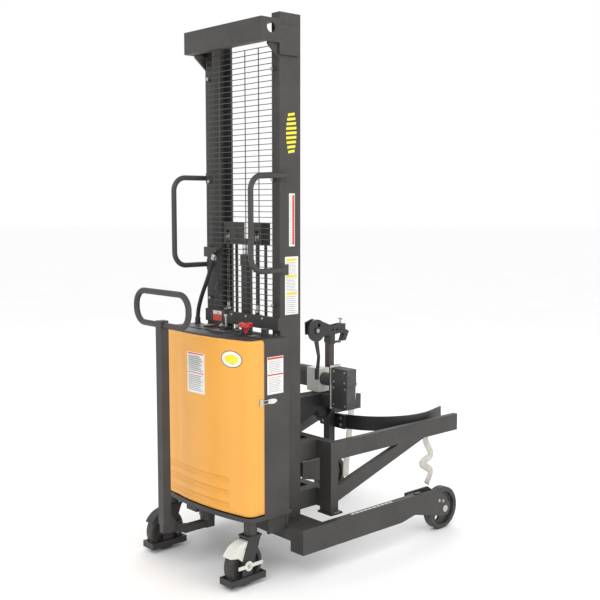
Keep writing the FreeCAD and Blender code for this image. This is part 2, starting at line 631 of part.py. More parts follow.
def rotator():
    outline = [("carriage_front", "carriage_low-9"), ("300", "carriage_low-9"),
               ("418", "arm_low"), ("arm_end", "arm_low-42+8"), ("arm_end", "arm_high"),
               ("carriage_front", "arm_high")]
    outline[3] = ("arm_end", "arm_low-32")
    outline.insert(3, ("430", "arm_low-32"))
    beam = prism("XZ_Plane", outline, "2*arm_half", ("0", "arm_half", "0"))
    hanger = block(("12", "120", "carriage_high-carriage_low+6"),
                   ("carriage_front", "-60", "carriage_low-6"))
    rest = block(("arm_end-gear_x", "60", "gear_lift"), ("gear_x", "-30", "arm_high"))
    hollow = block(("290", "2*arm_half-16", "arm_high-arm_low-12"),
                   ("carriage_front+11", "-arm_half+8", "arm_low+6"))
    bore = rod("turn_shaft+run_fit", "70", ("arm_end-62", "0", "turn_z"), "x")
    node("lift_arm", cut(fused([beam, hanger, rest]), fused([hollow, bore])))

    base_z = "arm_high+gear_lift"
    parts = [block(("gear_depth-6", "108", "78"), ("gear_x+3", "-206", f"{base_z}+50")),
             block(("gear_depth-10", "104", "114"), ("gear_x+5", "-202", f"{base_z}-60")),
             block(("gear_depth", "9", "204"), ("gear_x", "-99", f"{base_z}-66")),
             block(("arm_end-gear_x", "51", "60"), ("gear_x", "-91", f"{base_z}-64")),
             rod("30", "70", ("gear_x+gear_depth/2", "-92", f"{base_z}+63"), "y")]
    node("rotator_gearbox", fused(parts))
    node("motor_brake", block(("gear_depth", "84", "112"), ("gear_x", "-22", base_z)))
    low = V(D.gear_x, 62, D.arm_high + D.gear_lift + 14)
    motor = Part.makeBox(D.gear_depth, 96, 98, low)
    motor = motor.makeFillet(26, [e for e in motor.Edges if e.BoundBox.YLength > 90])
    motor = motor.makeFillet(10, [e for e in motor.Edges if e.BoundBox.YMin > 157])
    node("rotator_motor", shaped(motor))

    disc = rod("disc_radius", "disc_wall", ("arm_end+seat_gap", "0", "turn_z"), "x")
    shaft = rod("turn_shaft", "58", ("arm_end-56", "0", "turn_z"), "x")
    pad = block(("post_x-post_side/2-arm_end-disc_wall-seat_gap+1", "60", "120"),
                ("arm_end+disc_wall+seat_gap-1", "-30", "turn_z-60"))
    node("output_flange", fused([disc, shaft, pad]))


# ---------------------------------------------------------------- drum saddle and clamp
def saddle_band(inner, wall, low, high, left_end, right_end, tip):
    """A curved strip round the drum, open forward; both tips run on straight."""
    centre = V(D.drum_x, 0, low)
    outer = inner + wall

    def on(radius, angle):
        return centre + V(radius * math.cos(math.radians(angle)), radius * math.sin(math.radians(angle)), 0)

    middle = (left_end + right_end) / 2
    along = on(1, right_end + 90) - centre
    edges = [Part.Arc(on(outer, left_end), on(outer, middle), on(outer, right_end)),
             Part.LineSegment(on(outer, right_end), on(outer, right_end) + along * tip),
             Part.LineSegment(on(outer, right_end) + along * tip, on(inner, right_end) + along * tip),
             Part.LineSegment(on(inner, right_end) + along * tip, on(inner, right_end)),
             Part.Arc(on(inner, right_end), on(inner, middle), on(inner, left_end)),
             Part.LineSegment(on(inner, left_end), on(inner, left_end) + V(tip, 0, 0)),
             Part.LineSegment(on(inner, left_end) + V(tip, 0, 0), on(outer, left_end) + V(tip, 0, 0)),
             Part.LineSegment(on(outer, left_end) + V(tip, 0, 0), on(outer, left_end))]
    face = Part.Face(Part.Wire([edge.toShape() for edge in edges]))
    return face.extrude(V(0, 0, high - low))


def saddle():
    inner = D.drum_radius + D.liner_gap
    band = saddle_band(inner, D.band_wall, D.band_low, D.band_high, 90, 285, D.band_tip)
    back = D.drum_x - inner - D.band_wall
    front = D.post_x + D.post_side / 2
    plate = Part.makeBox(back - front + 6, 170, D.band_high - D.band_low,
                         V(front, -85, D.band_low)).cut(
        Part.makeCylinder(inner + 2, 200, V(D.drum_x, 0, D.band_low - 50)))
    node("drum_saddle", shaped(band.fuse(plate).removeSplitter().Solids[0]))

    side = "post_side"
    tube = block((side, side, "post_high-post_low"),
                 ("post_x-post_side/2", "-post_side/2", "post_low"))
    hole = block((f"{side}-2*post_wall", f"{side}-2*post_wall", "post_high-post_low+2"),
                 ("post_x-post_side/2+post_wall", "-post_side/2+post_wall", "post_low-1"))
    pin_hole = rod("5+run_fit", "30", ("post_x", "-post_side/2-20", "pin_z"), "y")
    boss = rod("11", "12", ("post_x", "-post_side/2-12", "pin_z"), "y")
    node("clamp_post", cut(fused([tube, boss]), fused([hole, pin_hole])))

    left_y = inner - 0.3
    hang = [V(D.drum_x + x, left_y, z) for x, z in ((116, 600), (161, 600), (101, 96), (53, 96))]
    left = Part.Face(Part.makePolygon(hang + hang[:1])).extrude(V(0, -3, 0))
    # the right strap is folded down on itself
    right_y = -(inner + 3.6)
    turns = [(D.drum_x + x, z) for x, z in ((32, D.band_low), (32, 415), (92, 329), (-10, 310), (89, 255), (45, 193))]
    right = folded_strap(turns, right_y, 3, 30)
    node("drum_straps", shaped(Part.Compound([left, right])))


def folded_strap(turns, y, thick, width):
    """Flat runs of webbing one after another, as one plate in an XZ plane."""
    runs = []
    for (x0, z0), (x1, z1) in zip(turns, turns[1:]):
        start = V(x0, y, z0)
        end = V(x1, y, z1)
        across = (end - start).cross(V(0, 1, 0)).normalize() * (width / 2)
        corners = [start - across, start + across, end + across, end - across]
        runs.append(Part.Face(Part.makePolygon(corners + corners[:1])).extrude(V(0, thick, 0)))
        runs.append(Part.makeCylinder(width / 2, thick, end, V(0, 1, 0)))
    return runs[0].fuse(runs[1:]).removeSplitter().Solids[0]


def clamp():
    side = "post_side-2*post_wall-2*run_fit"
    inner = block((f"{side}", f"{side}", "slide_high-slide_low"),
                  (f"post_x-({side})/2", f"-({side})/2", "slide_low"))
    bore = block((f"{side}-6", f"{side}-6", "slide_high-slide_low"),
                 (f"post_x-({side})/2+3", f"-({side})/2+3", "slide_low-8"))
    slot = block(("12", "12", "300"), ("post_x-6", "-22", "slide_low+90"))
    cheek = [("cam_x-24", "cam_z-22"), ("cam_x-26", "cam_z+36"), ("cam_x+18", "cam_z+50"),
             ("post_x+4", "cam_z+10"), ("screw_x+14", "cam_z+17"), ("screw_x+14", "cam_z-24"),
             ("post_x+16", "cam_z-30"), ("post_x+16", "slide_high-4"), ("post_x-16", "slide_high-4"),
             ("post_x-16", "cam_z-34")]
    plates = [prism("XZ_Plane", cheek, "6", ("0", y, "0")) for y in ("21.5", "-15.5")]
    spacer = block(("30", "38", "30"), ("post_x-15", "-19", "slide_high-6"))
    bridge = block(("26", "38", "12"), ("screw_x-13", "-19", "cam_z+4"))
    pins = [rod("10", "64", ("cam_x", "-42.5", "cam_z"), "y"), rod("15", "4", ("cam_x", "-42.5", "cam_z"), "y"),
            rod("5", "43", ("beak_x", "-21.5", "beak_z"), "y")]
    jaw = block(("52", "24", "8"), ("post_x+13", "-12", "slide_high-10"))
    body = fused([cut(inner, fused([bore, slot])), spacer, bridge, jaw] + pins + plates)
    holes = [rod("4+run_fit", "60", ("screw_x", "0", "cam_z-16"))]
    for x in ("post_x+2", "post_x+30"):
        holes.append(rod("6", "60", (x, "-30", "cam_z-9"), "y"))
    node("clamp_slider", cut(body, fused(holes)))

    low_y = "-38"
    disc = rod("52", "11", ("cam_x", low_y, "cam_z"), "y")
    stalk = prism("XZ_Plane", [("cam_x-12", "cam_z-45"), ("cam_x+9", "cam_z-125"),
                               ("cam_x-5", "cam_z-228"), ("cam_x+9", "cam_z-228"),
                               ("cam_x+20", "cam_z-125"), ("cam_x+8", "cam_z-45")],
                  "11", ("0", f"{low_y}+11", "0"))
    grip = rod("10", "52", ("cam_x+2", f"{low_y}+5.5", "cam_z-231"))
    holes = [rod("10+run_fit", "40", ("cam_x", "-50", "cam_z"), "y"),
             rod("9", "40", ("cam_x+12", "-50", "cam_z+24"), "y")]
    node("clamp_lever", cut(fused([disc, stalk, grip]), fused(holes)))

    outline = [("beak_x-16", "beak_z-12"), ("beak_x-12", "beak_z+12"), ("beak_x+14", "beak_z+10"),
               ("beak_x+62", "beak_z-14"), ("beak_x+40", "beak_z-58"), ("beak_x+16", "beak_z-58"),
               ("beak_x+30", "beak_z-26")]
    beak = prism("XZ_Plane", outline, "28", ("0", "14", "0"))
    node("clamp_beak", cut(beak, rod("5+run_fit", "40", ("beak_x", "-20", "beak_z"), "y")))

    screw = [rod("4", "42", ("screw_x", "0", "cam_z+1")),
             rod("3.5", "30", ("screw_x", "-15", "cam_z+38"), "y")]
    node("clamp_screw", fused(screw))

    pin = [rod("5", "38", ("post_x", "-post_side/2-34", "pin_z"), "y"),
           rod("10", "8", ("post_x", "-post_side/2-40", "pin_z"), "y")]
    node("clamp_pin", fused(pin))


# ---------------------------------------------------------------- guide frame
def guide_frame():
    depth = "frame_front-frame_rear"
    parts = []
    for low, high in (("frame_low", "frame_high"), ("rail_low", "rail_high")):
        rail = block((depth, "2*(frame_half-post_depth)+2", f"{high}-{low}"),
                     ("frame_rear", "-(frame_half-post_depth)-1", low))
        room = block((f"{depth}-8", "2*frame_half", f"{high}-{low}-8"),
                     ("frame_rear+4", "-frame_half", f"{low}+4"))
        parts.append(cut(rail, room))
        parts += pair(("frame_rear-column_depth", "54", f"{high}-{low}"),
                      ("column_depth", "mast_width/2-56", low))
    for side in (1, -1):
        near = "frame_half-post_depth"
        post = block((depth, "post_depth", "frame_high-post_foot"),
                     ("frame_rear", slab(side, near, "frame_half"), "post_foot"))
        room = block((f"{depth}-8", "post_depth-8", "frame_high-post_foot-4"),
                     ("frame_rear+4", slab(side, f"{near}+4", "frame_half-4"), "post_foot-1"))
        foot = block(("70", "post_depth+16", "8"),
                     ("frame_rear-6", slab(side, f"{near}-8", "frame_half+8"), "post_foot-8"))
        parts += [cut(post, room), foot]
    node("guide_frame", fused(parts))

    for name, side in SIDES:
        near = "frame_half-frame_wall"
        low_y = slab(side, near, "frame_half")
        bar = block(("frame_end-frame_front", "frame_wall", "frame_high-frame_low"),
                    ("frame_front", low_y, "frame_low"))
        room = block(("frame_end-frame_front-4", "frame_wall-6", "frame_high-frame_low-6"),
                     ("frame_front-1", f"{low_y}+3", "frame_low+3"))
        outline = [("frame_front", "rail_low+30"), ("frame_front+574", "frame_low"),
                   ("frame_front+394", "frame_low"), ("frame_front", "rail_low+98")]
        high_y = {1: "frame_half", -1: f"-({near})"}[side]
        brace = prism("XZ_Plane", outline, "frame_wall", ("0", high_y, "0"))
        node("frame_arm_" + name, fused([cut(bar, room), brace]))


# ---------------------------------------------------------------- steering
def steering():
    parts = [rod("king_radius", "78", ("-king_x", "0", "deck_low-70")),
             rod("32", "18", ("-king_x", "0", "deck_low-60")),
             block(("140", "36", "28"), ("-king_x-132", "-18", "deck_low-92"))]
    parts.append(block(("44", "44", "34"), ("-king_x-22", "-22", "deck_low-94")))
    for y in ("12.5", "-20.5"):
        parts.append(block(("44", "8", "34"), ("-tiller_pivot_x-17", y, "tiller_pivot_z-18")))
    bolt = rod("8", "48", ("-tiller_pivot_x", "-24", "tiller_pivot_z"), "y")
    node("steer_yoke", fused(parts + [bolt]))

    side = "tiller_side"
    tube = block((side, side, "tiller_high-tiller_low"),
                 ("-tiller_x-tiller_side/2", "-tiller_side/2", "tiller_low"))
    room = block((f"{side}-6", f"{side}-6", "tiller_high-tiller_low-60"),
                 ("-tiller_x-tiller_side/2+3", "-tiller_side/2+3", "tiller_low-1"))
    gusset = prism("XZ_Plane", [("-tiller_pivot_x-4", "tiller_pivot_z-15"),
                                ("-tiller_x-tiller_side/2", "tiller_low-34"),
                                ("-tiller_x-tiller_side/2", "tiller_low+40"),
                                ("-tiller_x+tiller_side/2", "tiller_low+40"),
                                ("-tiller_pivot_x-4", "tiller_pivot_z+15")],
                   "24", ("0", "12", "0"))
    eye = rod("15.5", "24", ("-tiller_pivot_x", "-12", "tiller_pivot_z"), "y")
    bore = rod("8+run_fit", "60", ("-tiller_pivot_x", "-30", "tiller_pivot_z"), "y")
    radius = D.loop_tube / 2
    x = -D.tiller_x
    ends = D.tiller_side / 2 - 4
    points = [V(x, ends, D.loop_low), V(x, D.loop_half, D.loop_low), V(x, D.loop_half, D.loop_high),
              V(x, -D.loop_half, D.loop_high), V(x, -D.loop_half, D.loop_low), V(x, -ends, D.loop_low)]
    loop = swept(rounded_path(points, [62] * 4), radius)
    node("tiller", fused([cut(fused([cut(tube, room), gusset, eye]), bore), shaped(loop)]))


# ---------------------------------------------------------------- hose and charger lead
def leads():
    plate = [block(("6", "96", "44"), ("-guard_behind-guard_wire-6.3", "126", "1322")),
             block(("guard_behind+guard_wire+6.3", "24", "44"),
                   ("-guard_behind-guard_wire-6.3", "mast_width/2-28", "1322")),
             block(("6", "40", "44"), ("-guard_behind-guard_wire-6.3", "200", "1322"))]
    hook = rod("9", "22", ("-42", "139", "1352"), "x")
    node("hose_bracket", fused(plate + [hook]))
    cord("hydraulic_hose", [V(-36, 282, 1012.3), V(-36, 282, 1060), V(-37, 264, 1110), V(-38, 239, 1159),
                            V(-38.5, 210, 1206), V(-38.5, 186, 1250), V(-38, 166, 1294), V(-37, 145, 1342.7)], 9.5)
    cord("charger_cord", [V(-20.5, 172, 1321.7), V(-20.5, 172, 1296), V(-22, 158, 1267), V(-28.5, 139, 1239),
                          V(-28.5, 139, 1214.3)], 4.5)
    body = turned([("0", "0"), ("6", "0"), ("13", "-14"), ("13", "-34"), ("0", "-34")],
                  ("-28.5", "139", "1214"))
    prongs = [block(("2", "6", "18"), ("-29.5", f"{y}", "1162.5")) for y in (130, 142)]
    node("charger_plug", fused([body] + prongs))


for build in (mast, guard, grab_handles, base, legs, casters, power_unit, ram, carriage, rotator,
              saddle, clamp, guide_frame, steering, leads):
    build()
doc.recompute()

# ---------------------------------------------------------------- check and write
faults = [f"{obj.Label}: {obj.State}" for obj in doc.Objects
          if "Invalid" in obj.State or "Error" in obj.State]
for label, obj in NODES.items():
    shape = obj.Shape
    if shape.isNull() or not shape.isValid() or not shape.Solids:
        faults.append(f"{label}: bad shape")
if faults:
    raise RuntimeError("; ".join(faults))
os.makedirs("parts", exist_ok=True)
for label, obj in NODES.items():
    obj.Shape.exportStep(f"parts/{label}.step")
print(len(NODES), "sub-parts,", sum(len(o.Shape.Solids) for o in NODES.values()), "solids")
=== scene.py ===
"""Looks for the powered drum stacker. Lengths are in millimetres in the mast's own frame, where x
is measured forward from the mast's rear face, and at() turns them into the row frame in metres."""
import math

import bmesh
import bpy
from mathutils import Matrix, Vector


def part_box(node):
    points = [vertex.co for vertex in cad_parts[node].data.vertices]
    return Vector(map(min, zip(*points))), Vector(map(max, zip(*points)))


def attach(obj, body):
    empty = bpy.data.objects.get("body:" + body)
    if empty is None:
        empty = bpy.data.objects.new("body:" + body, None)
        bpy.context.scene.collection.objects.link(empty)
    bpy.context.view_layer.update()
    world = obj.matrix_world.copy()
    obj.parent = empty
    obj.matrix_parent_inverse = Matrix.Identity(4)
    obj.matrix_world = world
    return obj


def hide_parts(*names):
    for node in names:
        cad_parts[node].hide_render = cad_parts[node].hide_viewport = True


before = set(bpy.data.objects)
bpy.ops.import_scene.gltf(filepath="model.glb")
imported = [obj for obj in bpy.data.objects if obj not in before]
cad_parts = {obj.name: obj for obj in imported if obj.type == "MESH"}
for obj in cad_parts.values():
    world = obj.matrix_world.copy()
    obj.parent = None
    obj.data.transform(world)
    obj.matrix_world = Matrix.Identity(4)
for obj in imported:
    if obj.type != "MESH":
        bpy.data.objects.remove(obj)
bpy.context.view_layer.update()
scene = bpy.context.scene

MM = 0.001
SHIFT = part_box("mast_column_left")[0].x
TAU = 2 * math.pi


# places that several pieces share, in the mast's frame
MAST_SIDE = -254.1              # just outside the right column
BOX_SIDE = -328.1               # just outside the power box
PANEL_TOP = 1016
GAUGE = (-72, 148)
SWITCH = (-60, 70)
STOP = (-112, -165)
LEVER = (-90, 0)
KEY = (-84, -70)
FRONT_AXLE, FRONT_WHEEL_Y = (905, 101.6), 385
CASTER_PIVOT = (-190, 283)
CASTER_AXLE = (-42, 88.9)       # behind the swivel, and above the floor
HEADINGS = (("right", -1, 2), ("left", 1, 0))
CHAIN_ANCHOR_X, CHAIN_SIDE = 3, 101
LEFT_STRAP_Y, RIGHT_STRAP_Y = 294.2, -298.1
PLUG_TOP = (-28.5, 139, 1214)


def at(x, y, z):
    """A point of the mast's frame in the row frame, in metres."""
    return Vector((x * MM + SHIFT, y * MM, z * MM))


# ---------------------------------------------------------------- camera
camera = bpy.data.objects.new("camera", bpy.data.cameras.new("camera"))
camera.data.sensor_width = 36
camera.data.lens = 56.41
camera.data.clip_end = 60
camera.location = at(-2561.4, -3211.1, 1564.2)
camera.rotation_euler = (math.radians(90 - 5.904), 0, math.radians(47.885 - 90))
scene.collection.objects.link(camera)
scene.camera = camera


# ---------------------------------------------------------------- materials
def material(name, color, rough=0.45, metal=0.0, fine=900, bump=0.25, tint=0.18, cloudy=7.0,
             wear=0.0, coat=0.0, sheen=0.0, bands=None):
    """A procedural finish: a fine surface grain, a slow change of tone and, with wear, scuffs."""
    mat = bpy.data.materials.new(name)
    mat.use_nodes = True
    nodes = mat.node_tree.nodes
    link = mat.node_tree.links.new
    shader = nodes["Principled BSDF"]
    shader.inputs["Metallic"].default_value = metal
    if coat:
        shader.inputs["Coat Weight"].default_value = coat
        shader.inputs["Coat Roughness"].default_value = 0.25
    if sheen:
        shader.inputs["Sheen Weight"].default_value = sheen
    place = nodes.new("ShaderNodeTexCoord")

    def noise(scale, detail=3.0, rough_=0.55):
        tex = nodes.new("ShaderNodeTexNoise")
        tex.inputs["Scale"].default_value = scale
        tex.inputs["Detail"].default_value = detail
        tex.inputs["Roughness"].default_value = rough_
        link(place.outputs["Object"], tex.inputs["Vector"])
        return tex

    def ramp(source, stops):
        node = nodes.new("ShaderNodeValToRGB")
        elements = node.color_ramp.elements
        while len(elements) < len(stops):
            elements.new(0.5)
        for element, (position, value) in zip(elements, stops):
            element.position = position
            element.color = (*value, 1)
        link(source, node.inputs["Fac"])
        return node.outputs["Color"]

    dark = tuple(c * (1 - tint) for c in color)
    light = tuple(min(1, c * (1 + tint)) for c in color)
    tone = ramp(noise(cloudy).outputs["Fac"], [(0.3, dark), (0.7, light)])
    if wear:
        scuffs = noise(38, 8.0, 0.75)
        mask = ramp(scuffs.outputs["Fac"], [(0.60, (0, 0, 0)), (0.72, (wear,) * 3)])
        mix = nodes.new("ShaderNodeMix")
        mix.data_type = "RGBA"
        mix.inputs[7].default_value = (*[min(1, c * 1.7 + 0.03) for c in color], 1)
        link(mask, mix.inputs[0])
        link(tone, mix.inputs[6])
        tone = mix.outputs[2]
    if bands:
        axis, pitch, depth = bands
        split = nodes.new("ShaderNodeSeparateXYZ")
        link(place.outputs["Object"], split.inputs[0])
        turns = nodes.new("ShaderNodeMath")
        turns.operation = "MULTIPLY"
        turns.inputs[1].default_value = TAU / pitch
        link(split.outputs[axis], turns.inputs[0])
        wave = nodes.new("ShaderNodeMath")
        wave.operation = "SINE"
        link(turns.outputs[0], wave.inputs[0])
        shade = ramp(wave.outputs[0], [(0.0, (1 - depth,) * 3), (0.6, (1, 1, 1))])
        mix = nodes.new("ShaderNodeMix")
        mix.data_type = "RGBA"
        mix.blend_type = "MULTIPLY"
        mix.inputs[0].default_value = 1
        link(tone, mix.inputs[6])
        link(shade, mix.inputs[7])
        tone = mix.outputs[2]
    link(tone, shader.inputs["Base Color"])
    gloss = ramp(noise(60, 4.0).outputs["Fac"], [(0.25, (rough * 0.82,) * 3), (0.75, (rough * 1.15,) * 3)])
    link(gloss, shader.inputs["Roughness"])
    grain = nodes.new("ShaderNodeBump")
    grain.inputs["Strength"].default_value = bump
    grain.inputs["Distance"].default_value = 0.0006
    link(noise(fine, 2.0).outputs["Fac"], grain.inputs["Height"])
    link(grain.outputs["Normal"], shader.inputs["Normal"])
    return mat


CHARCOAL = material("charcoal_powder_coat", (0.040, 0.037, 0.035), 0.52, wear=0.25)
BLACK = material("black_paint", (0.022, 0.021, 0.022), 0.42, wear=0.3)
BROWN_TUBE = material("worn_inner_tube", (0.05, 0.032, 0.027), 0.45, tint=0.35, cloudy=18, wear=0.5)
ORANGE = material("orange_cover_paint", (0.80, 0.37, 0.050), 0.42, tint=0.035, cloudy=3, bump=0.12, coat=0.25)
CREAM = material("cream_paint", (0.66, 0.66, 0.60), 0.4, tint=0.08, wear=0.3)
GREY_CAST = material("grey_cast", (0.055, 0.055, 0.058), 0.6, fine=300, bump=0.6, tint=0.3)
STEEL = material("brushed_steel", (0.55, 0.55, 0.54), 0.3, metal=1.0, fine=500, bump=0.15, tint=0.1)
ZINC = material("zinc_fastener", (0.50, 0.49, 0.46), 0.35, metal=0.9, fine=700, tint=0.2)
CHROME = material("chromed_rod", (0.72, 0.72, 0.74), 0.12, metal=1.0, fine=900, bump=0.05, tint=0.05)
CHAIN = material("oiled_chain", (0.10, 0.095, 0.085), 0.4, metal=0.6, tint=0.3, bands=(2, 0.0127, 0.7))
WIRE = material("coated_wire", (0.05, 0.05, 0.05), 0.45, tint=0.2, cloudy=40)
RUBBER = material("black_rubber", (0.018, 0.018, 0.019), 0.62, fine=500, bump=0.4, tint=0.3)
TREAD = material("wheel_tread", (0.035, 0.033, 0.031), 0.55, fine=350, bump=0.5, tint=0.35, cloudy=25,
                 wear=0.4)
PLASTIC = material("black_plastic", (0.02, 0.02, 0.02), 0.45, fine=1200, bump=0.3)
RED = material("red_plastic", (0.62, 0.018, 0.012), 0.28, fine=1200, bump=0.08, tint=0.08, coat=0.5)
WEBBING = material("ivory_webbing", (0.74, 0.71, 0.62), 0.8, fine=700, bump=0.5, tint=0.1, cloudy=30,
                   sheen=0.4, bands=(2, 0.003, 0.35))
PAPER = material("label_paper", (0.78, 0.78, 0.76), 0.45, tint=0.04, cloudy=30, bump=0.05)
PRINT = material("label_print", (0.38, 0.38, 0.38), 0.5, tint=0.1, cloudy=60, bump=0.05)
YELLOW = material("label_yellow", (0.75, 0.60, 0.05), 0.4, tint=0.06, cloudy=30, bump=0.05)
LABEL_RED = material("label_red", (0.62, 0.06, 0.04), 0.45, tint=0.06, cloudy=30, bump=0.05)
DECAL = material("decal_yellow", (0.83, 0.72, 0.03), 0.35, tint=0.05, cloudy=20, bump=0.05)


# ---------------------------------------------------------------- mesh helpers
def frame_of(direction):
    """Two unit vectors square to a direction."""
    direction = Vector(direction).normalized()
    side = Vector((0, 0, 1)).cross(direction)
    if side.length < 0.01:
        side = Vector((1, 0, 0))
    side.normalize()
    return direction, side, direction.cross(side)


def brick(low, high, mat):
    """A box from corner to corner, as (points, faces, material)."""
    x0, y0, z0 = low
    x1, y1, z1 = high
    points = [at(x, y, z) for z in (z0, z1) for y in (y0, y1) for x in (x0, x1)]
    faces = [(0, 2, 3, 1), (4, 5, 7, 6), (0, 1, 5, 4), (2, 6, 7, 3), (0, 4, 6, 2), (1, 3, 7, 5)]
    return points, faces, mat


def lathe(centre, direction, profile, mat, count=40):
    """A (radius, height) outline turned about a direction. A radius of 0 closes an end."""
    direction, side, up = frame_of(direction)
    centre = at(*centre)
    points = []
    for radius, height in profile:
        for i in range(count):
            angle = TAU * i / count
            points.append(centre + direction * (height * MM) + side * (radius * MM * math.cos(angle))
                          + up * (radius * MM * math.sin(angle)))
    faces = []
    for row in range(len(profile) - 1):
        for i in range(count):
            j = (i + 1) % count
            faces.append((row * count + i, row * count + j, (row + 1) * count + j, (row + 1) * count + i))
    faces.append(tuple(range(count))[::-1])
    faces.append(tuple((len(profile) - 1) * count + i for i in range(count)))
    return points, faces, mat


def bolt(centre, direction, size, mat=None, height=None):
    """A washer and a domed six-sided head."""
    mat = mat or ZINC
    height = height or size * 0.6
    washer = lathe(centre, direction, [(size * 1.05, 0), (size * 1.05, size * 0.12), (size * 0.9, size * 0.16)],
                   mat, 28)
    head = lathe(centre, direction, [(size * 0.82, size * 0.1), (size * 0.86, height * 0.8),
                                     (size * 0.66, height), (size * 0.3, height * 1.04)], mat, 6)
    return [washer, head]


def slab(points, thickness, mat):
    """A flat polygon given in the mast's frame, thickened by a vector."""
    low = [at(*p) for p in points]
    high = [p + Vector(thickness) * MM for p in low]
    count = len(points)
    faces = [tuple(range(count))[::-1], tuple(range(count, 2 * count))]
    faces += [(i, (i + 1) % count, (i + 1) % count + count, i + count) for i in range(count)]
    return low + high, faces, mat


def piece(name, body, parts, bevel=0.0, sharp=35, instead=(), segments=2):
    """One object out of (points, faces, material) parts, riding on a body."""
    points, faces, index, mats = [], [], [], []
    for part_points, part_faces, mat in parts:
        start = len(points)
        points += part_points
        faces += [[start + i for i in face] for face in part_faces]
        if mat not in mats:
            mats.append(mat)
        index += [mats.index(mat)] * len(part_faces)
    mesh = bpy.data.meshes.new(name)
    mesh.from_pydata(points, [], faces)
    for mat in mats:
        mesh.materials.append(mat)
    mesh.polygons.foreach_set("material_index", index)
    obj = bpy.data.objects.new(name, mesh)
    scene.collection.objects.link(obj)
    fix_normals(mesh)
    mesh.polygons.foreach_set("use_smooth", [True] * len(mesh.polygons))
    mesh.set_sharp_from_angle(angle=math.radians(sharp))
    if bevel:
        soft = obj.modifiers.new("edges", "BEVEL")
        soft.width = bevel * MM
        soft.segments = segments
        soft.limit_method = "ANGLE"
        soft.harden_normals = True
    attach(obj, body)
    if instead:
        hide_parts(*instead)
    return obj


def fix_normals(mesh):
    """Face every closed part outward."""
    work = bmesh.new()
    work.from_mesh(mesh)
    bmesh.ops.recalc_face_normals(work, faces=work.faces)
    work.to_mesh(mesh)
    work.free()


def repaint(node, mat):
    """Give a CAD node a finish of its own."""
    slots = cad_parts[node].data.materials
    slots.clear()
    slots.append(mat)


def route(name, points, radius, mat, body, node):
    """A smooth cord whose control points are the CAD route's own points."""
    curve = bpy.data.curves.new(name, "CURVE")
    curve.dimensions = "3D"
    curve.bevel_depth = radius * MM
    curve.bevel_resolution = 6
    curve.resolution_u = 10
    curve.use_fill_caps = True
    spline = curve.splines.new("NURBS")
    spline.points.add(len(points) - 1)
    for point, place in zip(spline.points, points):
        point.co = (*at(*place), 1)
    spline.order_u = 3
    spline.use_endpoint_u = True
    curve.materials.append(mat)
    obj = bpy.data.objects.new(name, curve)
    scene.collection.objects.link(obj)
    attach(obj, body)
    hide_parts(node)
    return obj


# ---------------------------------------------------------------- cords
HOSE = [(-36, 282, 1012.3), (-36, 282, 1060), (-37, 264, 1110), (-38, 239, 1159), (-38.5, 210, 1206),
        (-38.5, 186, 1250), (-38, 166, 1294), (-37, 145, 1342.7)]
LEAD = [(-20.5, 172, 1321.7), (-20.5, 172, 1296), (-22, 158, 1267), (-28.5, 139, 1239), (-28.5, 139, 1214.3)]
hose = route("hose", HOSE, 9.5, RUBBER, "chassis", "hydraulic_hose")
lead = route("charger_lead", LEAD, 4.5, RUBBER, "chassis", "charger_cord")

# ---------------------------------------------------------------- finishes of the CAD nodes
FINISH = {
    CHARCOAL: ["base_frame", "leg_left", "leg_right", "mast_column_left", "mast_column_right", "mast_head",
               "lower_tie", "grab_handle_left", "grab_handle_right", "cylinder_barrel", "guide_frame",
               "frame_arm_left", "frame_arm_right", "hose_bracket", "carriage", "ram", "steer_yoke", "tiller",
               "power_box"],
    BLACK: ["lift_arm", "drum_saddle", "clamp_post", "control_panel", "clamp_lever", "clamp_beak",
            "clamp_slider", "caster_fork_left", "caster_fork_right", "output_flange", "caster_brake_left"],
    GREY_CAST: ["rotator_gearbox", "rotator_motor"],
    CREAM: ["motor_brake", "caster_brake_right"],
    STEEL: ["control_lever", "chain_pulley_left", "chain_pulley_right", "carriage_roller_lower_left",
            "carriage_roller_lower_right", "carriage_roller_upper_left", "carriage_roller_upper_right"],
    ZINC: ["clamp_screw", "clamp_pin"],
    CHAIN: ["lift_chain_rear", "lift_chain_front"],
    WIRE: ["guard_mesh"],
    PLASTIC: ["power_pack", "charger_plug", "key_switch"],
    TREAD: ["caster_wheel_left", "caster_wheel_right", "front_wheel_left", "front_wheel_right"],
}
for finish, nodes in FINISH.items():
    for node in nodes:
        repaint(node, finish)


